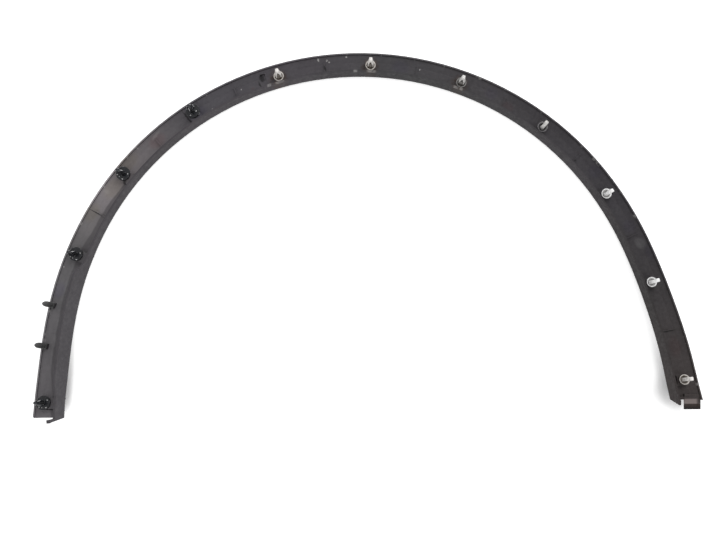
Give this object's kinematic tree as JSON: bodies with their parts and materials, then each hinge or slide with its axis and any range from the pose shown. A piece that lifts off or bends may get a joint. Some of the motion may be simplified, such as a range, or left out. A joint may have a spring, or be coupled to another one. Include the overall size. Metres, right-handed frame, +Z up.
{
  "type": "wheel arch trim",
  "caption": "Curved wheel arch trim with a return lip, rolled outer edge and push-in clips along its back, lying face down.",
  "frame": {"origin": "centre of the trim's box on the ground it lies on", "axes": "+X along the span from the left leg to the right leg, +Y from the legs' ends to the crown, +Z up, the way the clips point"},
  "size_m": [0.8121, 0.4535, 0.05],
  "materials": {
    "trim": "unpainted grained polypropylene, aged to dark grey and dusty",
    "natural_nylon": "natural nylon, slightly yellowed",
    "black_nylon": "black nylon with a soft gloss"
  },
  "bodies": {
    "root": {"arch_moulding": "trim", "white_clips": "natural_nylon", "black_clips": "black_nylon"}
  },
  "joints": []
}
